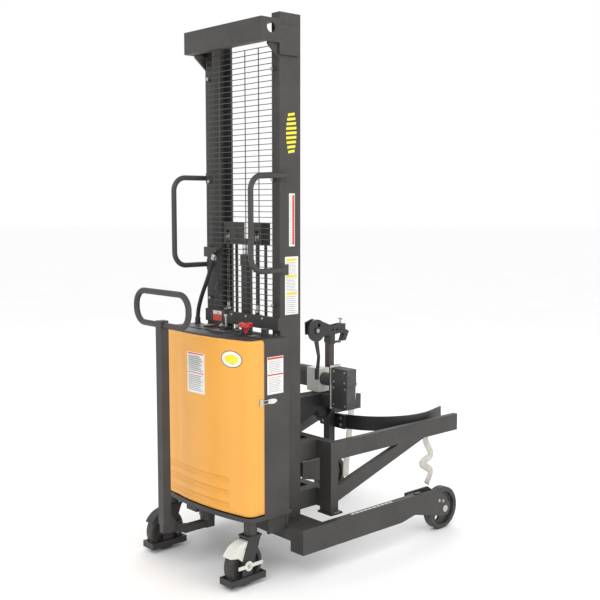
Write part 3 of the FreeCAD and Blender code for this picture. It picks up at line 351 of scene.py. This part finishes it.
# ---------------------------------------------------------------- orange cover
def cover():
    """The bowed cover: rounded rear corners, an upright fold, a soft top edge and three long grooves."""
    half, corner, bulge, front, low, high = 328, 224, 266, 150.3, 290, 1012
    grooves, groove_half, groove_depth, groove_ends, ramp_length = (318, 371, 424), 13, 8.0, (-216, 322), 16
    fold_y, fold_half, fold_depth = 128, 26, 3.2
    top_round, small, steps = 13, 38, 72
    big = (half ** 2 + (bulge - corner) ** 2) / (2 * (bulge - corner))
    centre = -bulge + big
    fx = centre - math.sqrt((big - small) ** 2 - (half - small) ** 2)
    lean = math.asin((half - small) / (big - small))
    outline = []
    for i in range(5):
        outline.append((-front + (fx + front) * i / 5, half, 0, 1))
    for i in range(9):
        angle = math.pi / 2 + (math.pi / 2 - lean) * i / 8
        outline.append((fx + small * math.cos(angle), half - small + small * math.sin(angle),
                        math.cos(angle), math.sin(angle)))
    for i in range(1, steps):
        angle = lean * (1 - 2 * i / steps)
        outline.append((centre - big * math.cos(angle), big * math.sin(angle),
                        -math.cos(angle), math.sin(angle)))
    side_points = 14
    outline += [(x, -y, nx, -ny) for x, y, nx, ny in outline[:side_points][::-1]]

    def depth(y, z):
        """How far the panel is pressed in at a place on its back."""
        pressed = 0.0
        for middle in grooves:
            across = abs(z - middle) / groove_half
            end = min(1.0, max(0.0, (y - groove_ends[0]) / ramp_length),
                      max(0.0, (groove_ends[1] - y) / ramp_length))
            if across < 1 and end > 0:
                pressed = max(pressed, groove_depth * min(1.0, (1 - across) * 2.4) * min(1.0, end * 1.3))
        fold = math.exp(-((y - fold_y) / fold_half) ** 2)
        return pressed + fold_depth * fold * min(1.0, (high - z) / 60)

    levels = []
    z = low
    while z < high - top_round - 1:
        levels.append((z, 0.0))
        z += 3.2 if 300 < z < 442 else 14       # finer rows where the grooves are
    for i in range(7):
        angle = math.pi / 2 * i / 6
        levels.append((high - top_round + top_round * math.sin(angle), top_round * (1 - math.cos(angle))))
    points = []
    for z, inset in levels:
        for x, y, nx, ny in outline:
            pull = inset + (depth(y, z) if x < -222 else 0)
            shift_x = 0 if x > -front - 1 else nx
            points.append(at(min(-front, x - pull * shift_x), y - pull * ny, z))
    count = len(outline)
    faces = []
    for row in range(len(levels) - 1):
        for i in range(count - 1):
            low_at, high_at = row * count + i, (row + 1) * count + i
            faces.append((low_at, low_at + 1, high_at + 1, high_at))
    top = points[(len(levels) - 1) * count:]
    lid = (top, [tuple(range(count))], BLACK)
    obj = piece("cover_shell", "cover", [(points, faces, ORANGE), lid], sharp=60,
                instead=["power_cover"])
    skin = obj.modifiers.new("skin", "SOLIDIFY")
    skin.thickness = 3 * MM
    skin.offset = -1
    keeper = [brick((-176, -333, 744), (-160, -328.2, 772), ZINC)] + bolt((-168, -333, 758), (0, -1, 0), 3)
    piece("latch_keeper", "cover", keeper, 0.8)
    return lambda y: centre - math.sqrt(big ** 2 - y ** 2)


back_of_cover = cover()


# ---------------------------------------------------------------- labels
def label(name, body, corner, across, up, parts, skin=0.35):
    """A thin plate with printed bars. Places are shares of the plate, and up and across are vectors."""
    across, up = Vector(across), Vector(up)
    normal = across.cross(up).normalized()
    made = []
    for order, (u0, v0, u1, v1, mat) in enumerate(parts):
        lift = 0 if order == 0 else skin
        tall = skin if order == 0 else 0.15
        base = Vector(corner) + normal * (lift + 0.05)
        quad = [base + across * u + up * v for u, v in ((u0, v0), (u1, v0), (u1, v1), (u0, v1))]
        made.append(slab([tuple(p) for p in quad], tuple(normal * tall), mat))
    return piece(name, body, made)


def text_rows(v0, v1, rows, left=0.1, right=0.9, mat=None):
    """Bars that stand in for lines of small print, uneven at the right."""
    pitch = (v1 - v0) / rows
    return [(left, v0 + pitch * (i + 0.25), right - 0.16 * ((i * 7) % 5) / 4, v0 + pitch * (i + 0.6),
             mat or PRINT)
            for i in range(rows)]


FULL = (0, 0, 1, 1)
RING = 40       # points round an oval label
rows = [(*FULL, PAPER)]
for v0, v1 in ((0.02, 0.36), (0.40, 0.66), (0.70, 0.94)):
    rows += text_rows(v0, v1 - 0.03, 9)
    rows.append((0.1, v1 - 0.02, 0.9, v1 + 0.025, YELLOW))
label("mast_notice", "chassis", (27, MAST_SIDE, 1094), (74, 0, 0), (0, 0, 245), rows)
label("mast_strip", "chassis", (50, MAST_SIDE, 1382), (32, 0, 0), (0, 0, 221),
      [(*FULL, PAPER), (0.55, 0.03, 0.92, 0.97, LABEL_RED)] + text_rows(0.04, 0.96, 30, 0.1, 0.5))
notice = [(*FULL, PAPER), (0.02, 0.93, 0.98, 0.985, LABEL_RED), (0.02, 0.50, 0.98, 0.54, LABEL_RED)]
notice += text_rows(0.05, 0.47, 9) + text_rows(0.57, 0.90, 7)
label("box_notice", "chassis", (-134, BOX_SIDE, 785), (86, 0, 0), (0, 0, 155), notice)
label("tie_notice", "chassis", (-12.2, 196, 1036), (0, -62, 0), (0, 0, 44),
      [(*FULL, PAPER), (0, 0, 1, 0.66, LABEL_RED)] + text_rows(0.7, 0.96, 2))


def curved_label(name, centre_y, centre_z, width, height, parts, oval=False, steps=16):
    """A label that follows the bowed back of the cover."""
    made = []
    for order, (u0, v0, u1, v1, mat) in enumerate(parts):
        lift = 0.3 + 0.2 * order
        if oval:
            ring = [(centre_y + width / 2 * u1 * math.cos(TAU * i / RING),
                     centre_z + height / 2 * v1 * math.sin(TAU * i / RING)) for i in range(RING)]
            points = [at(back_of_cover(y) - lift, y, z) for y, z in ring]
            points += [at(back_of_cover(y) + 6, y, z) for y, z in ring]
            faces = [tuple(range(RING)), tuple(range(RING, 2 * RING))[::-1]]
            faces += [(i, (i + 1) % RING, (i + 1) % RING + RING, i + RING) for i in range(RING)]
            made.append((points, faces, mat))
            continue
        points = []
        for i in range(steps + 1):
            y = centre_y + width / 2 - width * (u0 + (u1 - u0) * i / steps)
            for v in (v0, v1):
                z = centre_z - height / 2 + height * v
                points.append(at(back_of_cover(y) - lift, y, z))
                points.append(at(back_of_cover(y) + 3, y, z))
        faces = []
        for i in range(steps):
            a, b = 4 * i, 4 * i + 4
            faces += [(a, b, b + 2, a + 2), (a + 1, a + 3, b + 3, b + 1), (a, a + 1, b + 1, b),
                      (a + 2, b + 2, b + 3, a + 3)]
        faces += [(0, 2, 3, 1), (4 * steps, 4 * steps + 1, 4 * steps + 3, 4 * steps + 2)]
        made.append((points, faces, mat))
    return piece(name, "cover", made)


curved_label("cover_notice", -16, 852, 120, 172,
             [(*FULL, PAPER), (0.04, 0.955, 0.96, 0.985, LABEL_RED), (0.04, 0.49, 0.96, 0.51, LABEL_RED)]
             + text_rows(0.05, 0.46, 9) + text_rows(0.54, 0.93, 8))
curved_label("cover_badge", -234, 934, 112, 70,
             [(0, 0, 1, 1, PLASTIC), (0, 0, 0.94, 0.92, PAPER), (0, 0, 0.66, 0.52, DECAL)], oval=True)
bands = []
for i in range(9):
    z = 1768 + 19 * i
    wide = 34 + 30 * math.sin(math.pi * (i + 0.7) / 9.6)
    near, far = 66 - wide / 2, 66 + wide / 2 - 6
    stripe = ((near, z), (far, z + 6), (far, z + 17), (near, z + 11))
    bands.append(slab([(x, MAST_SIDE, height) for x, height in stripe], (0, -0.4, 0), DECAL))
piece("mast_decal", "chassis", bands)


# ---------------------------------------------------------------- control panel
def panel():
    """The gauge, switch, trim plates and socket on top of the power box."""
    up = (0, 0, 1)
    gauge_x, gauge_y = GAUGE
    dial = [lathe((*GAUGE, 1022.1), up, [(23, 0), (24.5, 1.5), (23, 3), (20, 3)], ZINC, 48),
            lathe((*GAUGE, 1022.3), up, [(19.5, 0), (19.5, 0.8)], PAPER, 48),
            slab([(-73, 146, 1023.2), (-60, 155, 1023.2), (-71, 149, 1023.2)], (0, 0, 0.6), LABEL_RED)]
    for i in range(7):
        angle = math.radians(-30 + 40 * i)
        cx, sy = math.cos(angle), math.sin(angle)
        mark = [(gauge_x + far * cx - turn * sy, gauge_y + far * sy + turn * cx, 1023.1)
                for far, turn in ((13, 1), (18, 1), (18, -1), (13, -1))]
        dial.append(slab(mark, (0, 0, 0.5), PLASTIC))
    piece("gauge", "chassis", dial, 0.3)
    switch = [lathe((*SWITCH, 1024.2), up, [(14, 0), (14.5, 3), (12, 5), (7, 5.2)], ZINC, 36),
              brick((-62, 62, 1028), (-58, 78, 1037), ZINC)]
    piece("lamp_switch", "chassis", switch, 0.5)
    plate = [brick((-136, -36, PANEL_TOP - 0.6), (-88, 58, PANEL_TOP + 0.8), ZINC),
             brick((-136, -230, PANEL_TOP - 0.6), (-96, -200, PANEL_TOP + 0.8), ZINC)]
    for x, y in ((-132, -32), (-132, 54), (-92, 54), (-36, -270), (-36, 250), (-136, 250), (-136, -270)):
        plate += bolt((x, y, PANEL_TOP + 0.4), up, 3.4)
    piece("panel_trim", "chassis", plate, 0.4)
    socket = [lathe((-80, -250, 1037), up, [(16.5, 0), (17.5, 2), (17.5, 5), (15, 8), (6, 9)], PLASTIC, 40)]
    piece("socket_cap", "chassis", socket, 0.4)


def lobed_knob(count=54):
    """The three-lobed head of the stop knob."""
    points = []
    rings = ((0.80, 1044.5), (1.0, 1047.5), (1.0, 1060.5), (0.86, 1064.5), (0.45, 1065.5))
    for share, height in rings:
        for i in range(count):
            angle = TAU * i / count
            reach = (26 + 6.5 * math.cos(3 * angle)) * share
            points.append(at(STOP[0] + reach * math.cos(angle), STOP[1] + reach * math.sin(angle), height))
    faces = []
    for low in range(0, (len(rings) - 1) * count, count):
        for i in range(count):
            j = (i + 1) % count
            faces.append((low + i, low + j, low + count + j, low + count + i))
    faces += [tuple(range(count))[::-1], tuple((len(rings) - 1) * count + i for i in range(count))]
    return points, faces, RED


panel()
knob_stem = lathe((*STOP, 1018.2), (0, 0, 1), [(8.5, 0), (8.5, 16), (13, 17), (14, 28)], RED)
piece("stop_handle", "stop", [lobed_knob(), knob_stem], 0.4, sharp=50,
      instead=["stop_knob"])
piece("lever_collar", "lever", [lathe((*LEVER, 1070), (0, 0, 1), [(5, 0), (8, 2), (8, 7), (5, 9)], ZINC),
                                lathe((*LEVER, 1084), (0, 0, 1),
                                      [(7, 0), (10.5, 4), (11, 18), (9.4, 26), (4, 28.6)], PLASTIC)], 0.3)
piece("key", "key", [brick((-86.8, -80, 1030), (-81.2, -60, 1046.4), ZINC),
                     lathe((*KEY, 1021.2), (0, 0, 1), [(10.5, 0), (10.5, 2.5), (7.5, 4)], ZINC)], 0.6)

# ---------------------------------------------------------------- latch
wire = []
for z in (751, 765):
    wire.append(lathe((-172, -332.6, z), (1, 0, 0), [(1.7, 0), (1.7, 46)], STEEL, 14))
wire.append(lathe((-171, -332.6, 749.5), (0, 0, 1), [(1.7, 0), (1.7, 17)], STEEL, 14))
lever = slab([(-132, -328.4, 749), (-104, -328.4, 747), (-90, -328.4, 752), (-86, -328.4, 758),
              (-90, -328.4, 764), (-104, -328.4, 768), (-132, -328.4, 767)], (0, -5.5, 0), CREAM)
piece("draw_latch", "latch", wire + [lever] + bolt((-124, -333.9, 758), (0, -1, 0), 3.2), 0.9,
      instead=["cover_latch"])


# ---------------------------------------------------------------- wheels
fork_out, fork_in = 417.1, 352.9
axle_x, axle_z = FRONT_AXLE
for name, side in (("left", 1), ("right", -1)):
    caps = []
    for reach, sign in ((fork_out, side), (fork_in, -side)):
        face = (0, sign, 0)
        caps.append(lathe((axle_x, side * reach, axle_z), face, [(17, 0), (17, 2.5), (15, 4), (8, 4.4)], ZINC))
        caps += bolt((axle_x, side * reach + 3 * sign, axle_z), face, 9, height=3)
    for x, z in ((862, 150), (890, 142)):
        caps += bolt((x, side * fork_out, z), (0, side, 0), 7)
    piece("axle_caps_" + name, "chassis", caps, 0.4)
    parts = [lathe((axle_x, side * FRONT_WHEEL_Y - 17 * turn, axle_z), (0, turn, 0),
                   [(29, 0), (31, 1.5), (31, 6)], GREY_CAST) for turn in (1, -1)]
    piece("wheel_hub_" + name, "front_wheel_" + name, parts, 0.4)


def caster_frame(side, heading):
    """Places in a caster's own frame, turned to its heading about its swivel."""
    turn = Matrix.Rotation(math.radians(heading), 3, "Z")

    def local(x, y, z):
        p = turn @ Vector((x, y, 0))
        return (CASTER_PIVOT[0] + p.x, side * CASTER_PIVOT[1] + p.y, z)

    return local, turn


trail, axle = CASTER_AXLE
for name, side, heading in HEADINGS:
    local, turn = caster_frame(side, heading)
    out = tuple(turn @ Vector((0, -1, 0)))
    back = tuple(turn @ Vector((0, 1, 0)))
    nuts = bolt(local(trail, -40.1, axle), out, 9) + bolt(local(trail, 31.2, axle), back, 9)
    piece("caster_axle_nuts_" + name, "caster_" + name, nuts, 0.4)
    ring = [lathe(local(0, 0, 197), (0, 0, -1), [(24, 0), (24, 5), (18, 8), (9, 8.5)], ZINC)]
    piece("swivel_nut_" + name, "caster_" + name, ring, 0.4)
    sides = []
    for y, face in ((-22.1, out), (22.1, back)):
        sides.append(lathe(local(trail, y, axle), face, [(21, -1), (21, 0.5), (16, 0.8)], STEEL))
    piece("caster_hub_" + name, "caster_wheel_" + name, sides, 0.3)
    rivets = bolt(local(-52, -25.1, 158), out, 4.5) + bolt(local(trail, -40.4, axle), out, 5)
    piece("brake_rivets_" + name, "brake_" + name, rivets, 0.3)

# ---------------------------------------------------------------- fasteners and trim on the frame
trim = []
for z in (1135, 1660, 2110):
    for y in (220, -220):
        trim += bolt((-15.2, y, z), (-1, 0, 0), 7)
for y in (CHAIN_SIDE, -CHAIN_SIDE):
    trim.append(lathe((CHAIN_ANCHOR_X, y, 1094.2), (0, 0, 1), [(11, 0), (11, 8), (9, 9)], ZINC, 6))
    trim.append(lathe((CHAIN_ANCHOR_X, y, 1104), (0, 0, 1), [(6.6, 0), (6.6, 20), (5.5, 21)], ZINC, 18))
for y in (160, 60, -40, -150):
    trim += bolt((-12.1, y, 1072), (-1, 0, 0), 6)
piece("guard_bolts", "chassis", trim, 0.3)

leg_top = 210
leg_parts = []
for side in (1, -1):
    y = side * 402
    leg_parts.append(brick((700, y - 10, leg_top), (738, y + 10, leg_top + 4), BLACK))
    for x in (232, 246):
        leg_parts += bolt((x, side * 349, leg_top + 3.2), (0, 0, 1), 5)
piece("leg_loops", "chassis", leg_parts, 1.2)

strip = []
for i in range(10):
    x = 280 + 27 * i
    strip.append(brick((x, -408, leg_top + 0.05), (x + 20, -396, leg_top + 0.5), CREAM))
piece("leg_strip", "chassis", strip, 0.1)

saddle = []
for y, z in ((-60, 505), (-60, 538), (60, 505), (60, 538)):
    saddle += bolt((550.8, y, z), (-1, 0, 0), 7)
for i in range(4):
    angle = math.radians(45 + 90 * i)
    saddle += bolt((493.9, 48 * math.cos(angle), 600 + 48 * math.sin(angle)), (1, 0, 0), 6)
piece("saddle_bolts", "saddle", saddle, 0.3)

gear = []
for y, z in ((-190, 786), (-120, 786), (-190, 738), (-120, 738), (-190, 708), (-115, 708), (-190, 628),
             (-115, 628)):
    gear += bolt((444.8 if z > 720 else 447.8, y, z), (-1, 0, 0), 5)
for z in (742, 764, 720):
    gear.append(brick((449, -207.6, z), (503, -206, z + 6), GREY_CAST))
gear.append(brick((442.2, -100.2, 606.5), (509.6, -98.6, 809.5), CREAM))
gear.append(lathe((476, -206.1, 758), (0, -1, 0), [(18, 0), (18, 1), (14, 2)], GREY_CAST))
piece("gearbox_trim", "carriage", gear, 0.5)
fins = []
for i in range(7):
    y = 72 + 11 * i
    fins.append(brick((442.0, y, 712), (443.4, y + 5, 760), GREY_CAST))
piece("motor_fins", "carriage", fins, 0.4)

clamp = bolt((588, -21.6, 960), (0, -1, 0), 4.5, BLACK) + bolt((416, -42.6, 970), (0, -1, 0), 9)
clamp.append(brick((514, -19.6, 893), (550, -15.6, 902), BLACK))
piece("clamp_trim", "clamp", clamp, 0.4)
piece("slide_tube", "clamp", [brick((516.52, -15.48, 640), (547.48, 15.48, 900), BROWN_TUBE)])
piece("ram_rod", "ram", [lathe((27, 0, 264), (0, 0, 1), [(18.02, 0), (18.02, 1118)], CHROME, 48)])


# ---------------------------------------------------------------- drum straps
def ribbon(name, spine, y, width, thickness, twist=0.0):
    """A strip of webbing along a line in an XZ plane, with a slight wave out of that plane."""
    fine = []
    for i in range(len(spine) - 1):
        a, b = Vector((*spine[i], 0)), Vector((*spine[i + 1], 0))
        steps = max(2, int((b - a).length / 12))
        fine += [a.lerp(b, j / steps) for j in range(steps)]
    fine.append(Vector((*spine[-1], 0)))
    smooth = fine[:]
    for _ in range(3):
        inner = [(smooth[i - 1] + smooth[i] * 2 + smooth[i + 1]) / 4 for i in range(1, len(smooth) - 1)]
        smooth = [smooth[0], *inner, smooth[-1]]
    points, faces = [], []
    for i, p in enumerate(smooth):
        ahead = smooth[min(i + 1, len(smooth) - 1)] - smooth[max(i - 1, 0)]
        ahead.normalize()
        side = Vector((ahead.y, -ahead.x, 0))
        wave = twist * math.sin(i * 0.42)
        for across in (-1, -0.5, 0, 0.5, 1):
            q = p + side * (across * width / 2)
            cup = 1.2 * (across ** 2) + wave * across
            points.append(at(q.x, y + cup, q.y))
    for i in range(len(smooth) - 1):
        for j in range(4):
            faces.append((i * 5 + j, i * 5 + j + 1, i * 5 + j + 6, i * 5 + j + 5))
    obj = piece(name, "saddle", [(points, faces, WEBBING)], sharp=70)
    skin = obj.modifiers.new("skin", "SOLIDIFY")
    skin.thickness = thickness * MM
    skin.offset = 0
    return obj


left = ribbon("strap_left", [(999, 600), (985, 480), (966, 330), (948, 210), (940, 98)],
              LEFT_STRAP_Y, 44, 2.2, 0.4)
ribbon("strap_right", [(893, 486), (893, 455), (893, 415), (948, 332), (858, 308), (946, 256), (906, 195)],
       RIGHT_STRAP_Y, 36, 2.2, 0.5)
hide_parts("drum_straps")
piece("strap_buckles", "saddle",
      [brick((975, LEFT_STRAP_Y - 4, 588), (1023, LEFT_STRAP_Y + 1.0, 600), ZINC)], 1.5)

# ---------------------------------------------------------------- hose and lead ends
ends = [lathe(HOSE[0], (0, 0, 1), [(15, -0.2), (15, 7), (12.5, 9), (12.5, 26), (10.2, 34)], PLASTIC)]
piece("hose_boot", "chassis", ends, 0.4)
tip = Vector(HOSE[-1]) - Vector(HOSE[-2])
tip.normalize()
start = Vector(HOSE[-1]) - tip * 34
ferrule = lathe(tuple(start), tuple(tip), [(9.8, 0), (11.5, 2), (11.5, 24), (9, 27), (9, 33)], STEEL)
piece("hose_ferrule", "chassis", [ferrule], 0.4)
plug = [lathe(PLUG_TOP, (0, 0, -1),
              [(6.2, 0), (9, 6), (13.3, 13), (13.3, 22), (12, 24), (13.3, 26), (13.3, 33)], PLASTIC),
        lathe(LEAD[-1], (0, 0, 1), [(6.4, -0.3), (5.6, 8), (4.8, 20)], PLASTIC)]
piece("plug_grip", "chassis", plug, 0.3)


# ---------------------------------------------------------------- studio
def stage():
    """A pale flat floor with soft light all round."""
    mesh = bpy.data.meshes.new("floor")
    size = 60
    below = -0.0005
    mesh.from_pydata([(-size, -size, below), (size, -size, below), (size, size, below), (-size, size, below)],
                     [], [(0, 1, 2, 3)])
    floor = bpy.data.objects.new("floor", mesh)
    pale = material("studio_floor", (0.97, 0.97, 0.97), 0.75, tint=0.01, cloudy=1, bump=0.02)
    mesh.materials.append(pale)
    scene.collection.objects.link(floor)
    world = bpy.data.worlds.new("studio")
    world.use_nodes = True
    world.node_tree.nodes["Background"].inputs["Color"].default_value = (1, 1, 1, 1)
    world.node_tree.nodes["Background"].inputs["Strength"].default_value = 1.0
    scene.world = world
    for name, place, size, power in (("key", (-4.2, -2.2, 4.6), 3.5, 95), ("fill", (1.5, -5.2, 3.0), 4.0, 60),
                                     ("back", (3.5, 3.5, 4.5), 3.5, 45)):
        light = bpy.data.objects.new(name, bpy.data.lights.new(name, "AREA"))
        light.data.size = size
        light.data.energy = power
        light.location = place
        aim = Vector((0, 0, 1.0)) - Vector(place)
        light.rotation_euler = aim.to_track_quat("-Z", "Y").to_euler()
        scene.collection.objects.link(light)
    scene.view_settings.view_transform = "Standard"


stage()
